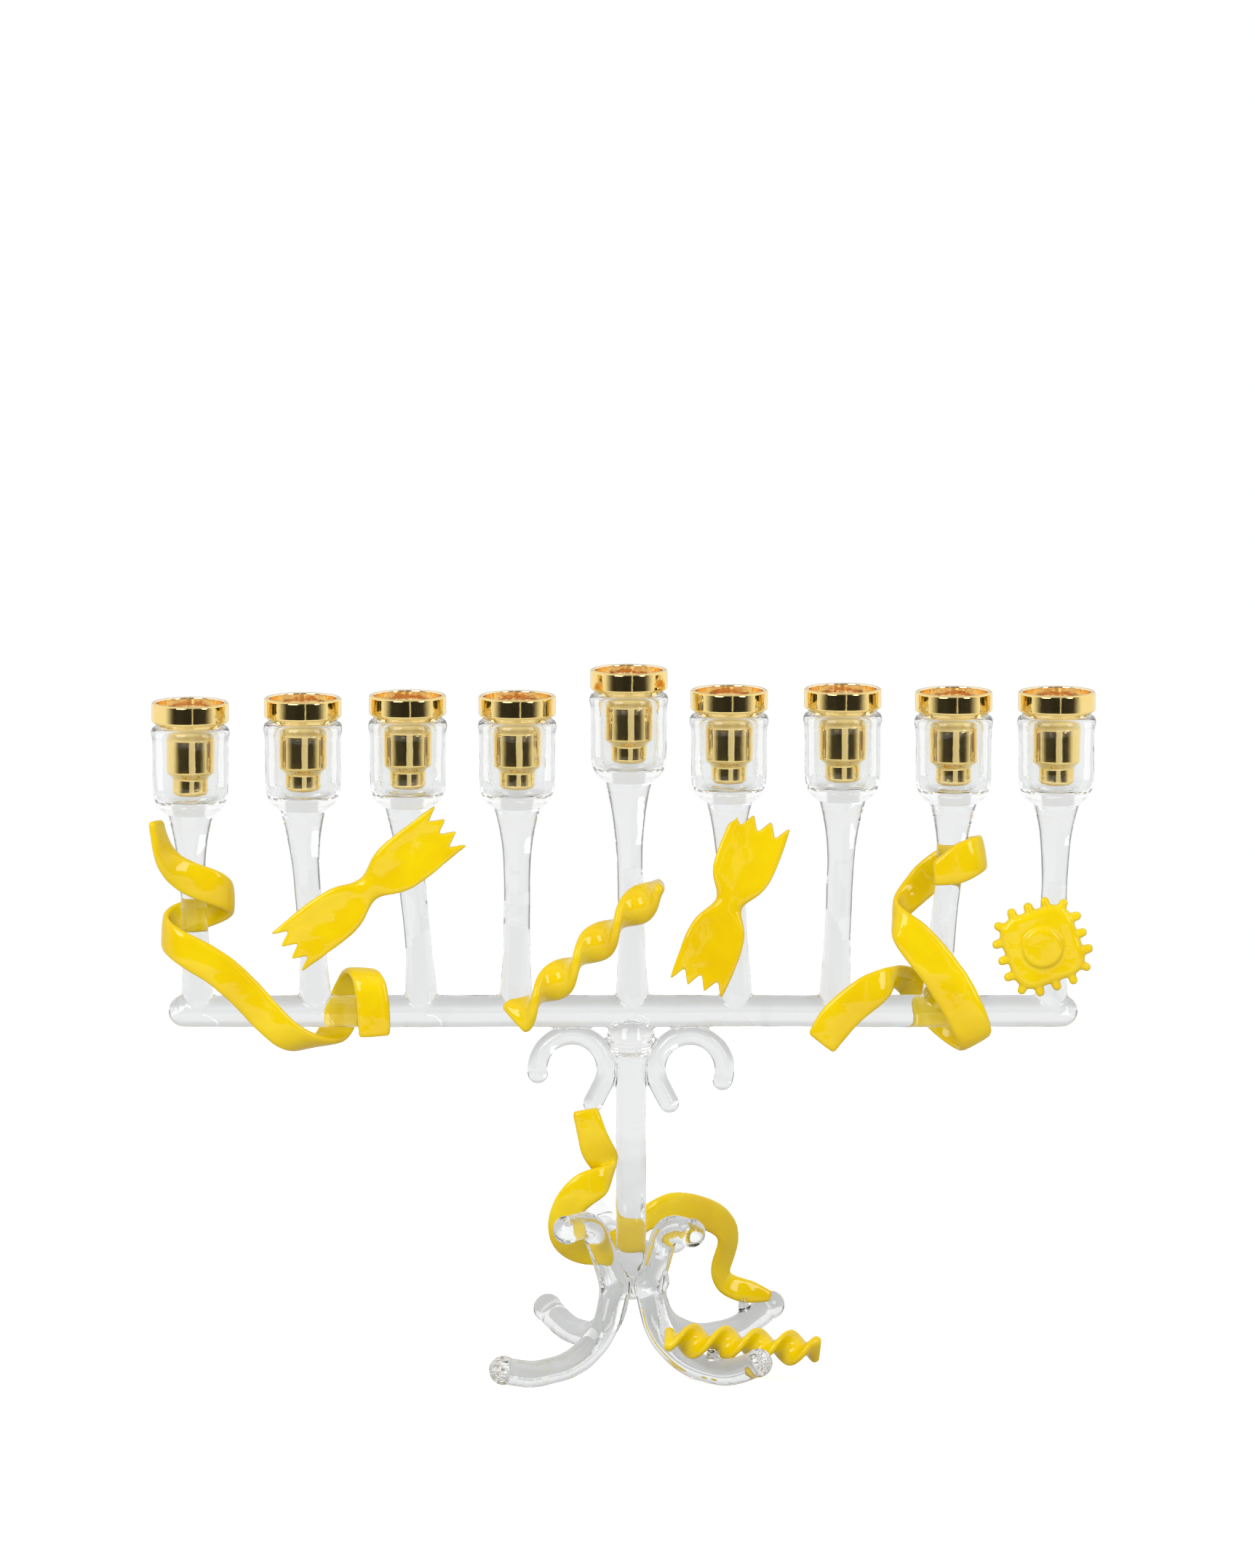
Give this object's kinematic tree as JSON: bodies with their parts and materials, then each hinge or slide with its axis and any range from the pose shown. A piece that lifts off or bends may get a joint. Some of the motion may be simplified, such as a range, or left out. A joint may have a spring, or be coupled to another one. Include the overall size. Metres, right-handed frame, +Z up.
{
  "type": "menorah",
  "caption": "Nine-light menorah in clear lampworked glass with yellow glass pasta shapes and lift-out metal candle inserts.",
  "frame": {"origin": "on the table, under the middle of the object", "axes": "+Z up, the row of cups runs along X, the front with the pasta shapes faces -Y"},
  "size_m": [0.3059, 0.1061, 0.2294],
  "materials": {
    "clear_glass": "fire-polished",
    "yellow_glass": "opaque yellow glass, glossy",
    "gold_plate": "polished gold plate"
  },
  "bodies": {
    "glass": {"base_ribbon": "yellow_glass", "base_twist": "yellow_glass", "bow_tie_left": "yellow_glass", "bow_tie_right": "yellow_glass", "collar": "clear_glass", "crossbar": "clear_glass", "glass_cup_1": "clear_glass", "glass_cup_2": "clear_glass", "glass_cup_3": "clear_glass", "glass_cup_4": "clear_glass", "glass_cup_5": "clear_glass", "glass_cup_6": "clear_glass", "glass_cup_7": "clear_glass", "glass_cup_8": "clear_glass", "glass_cup_9": "clear_glass", "leg_back_left": "clear_glass", "leg_back_right": "clear_glass", "leg_front_left": "clear_glass", "leg_front_right": "clear_glass", "pasta_pegs": "clear_glass", "ravioli": "yellow_glass", "ribbon_left": "yellow_glass", "ribbon_right": "yellow_glass", "scroll_left": "clear_glass", "scroll_right": "clear_glass", "stem_1": "clear_glass", "stem_2": "clear_glass", "stem_3": "clear_glass", "stem_4": "clear_glass", "stem_5": "clear_glass", "stem_6": "clear_glass", "stem_7": "clear_glass", "stem_8": "clear_glass", "stem_9": "clear_glass", "trunk": "clear_glass", "twist_centre": "yellow_glass"},
    "insert_1": {"candle_insert_1": "gold_plate"},
    "insert_2": {"candle_insert_2": "gold_plate"},
    "insert_3": {"candle_insert_3": "gold_plate"},
    "insert_4": {"candle_insert_4": "gold_plate"},
    "insert_5": {"candle_insert_5": "gold_plate"},
    "insert_6": {"candle_insert_6": "gold_plate"},
    "insert_7": {"candle_insert_7": "gold_plate"},
    "insert_8": {"candle_insert_8": "gold_plate"},
    "insert_9": {"candle_insert_9": "gold_plate"}
  },
  "joints": [
    {"name": "insert_1_lift", "type": "slide", "parent": "glass", "child": "insert_1", "axis": [0, 0, 1], "range_m": [0, 0.035]},
    {"name": "insert_2_lift", "type": "slide", "parent": "glass", "child": "insert_2", "axis": [0, 0, 1], "range_m": [0, 0.035]},
    {"name": "insert_3_lift", "type": "slide", "parent": "glass", "child": "insert_3", "axis": [0, 0, 1], "range_m": [0, 0.035]},
    {"name": "insert_4_lift", "type": "slide", "parent": "glass", "child": "insert_4", "axis": [0, 0, 1], "range_m": [0, 0.035]},
    {"name": "insert_5_lift", "type": "slide", "parent": "glass", "child": "insert_5", "axis": [0, 0, 1], "range_m": [0, 0.035]},
    {"name": "insert_6_lift", "type": "slide", "parent": "glass", "child": "insert_6", "axis": [0, 0, 1], "range_m": [0, 0.035]},
    {"name": "insert_7_lift", "type": "slide", "parent": "glass", "child": "insert_7", "axis": [0, 0, 1], "range_m": [0, 0.035]},
    {"name": "insert_8_lift", "type": "slide", "parent": "glass", "child": "insert_8", "axis": [0, 0, 1], "range_m": [0, 0.035]},
    {"name": "insert_9_lift", "type": "slide", "parent": "glass", "child": "insert_9", "axis": [0, 0, 1], "range_m": [0, 0.035]}
  ]
}
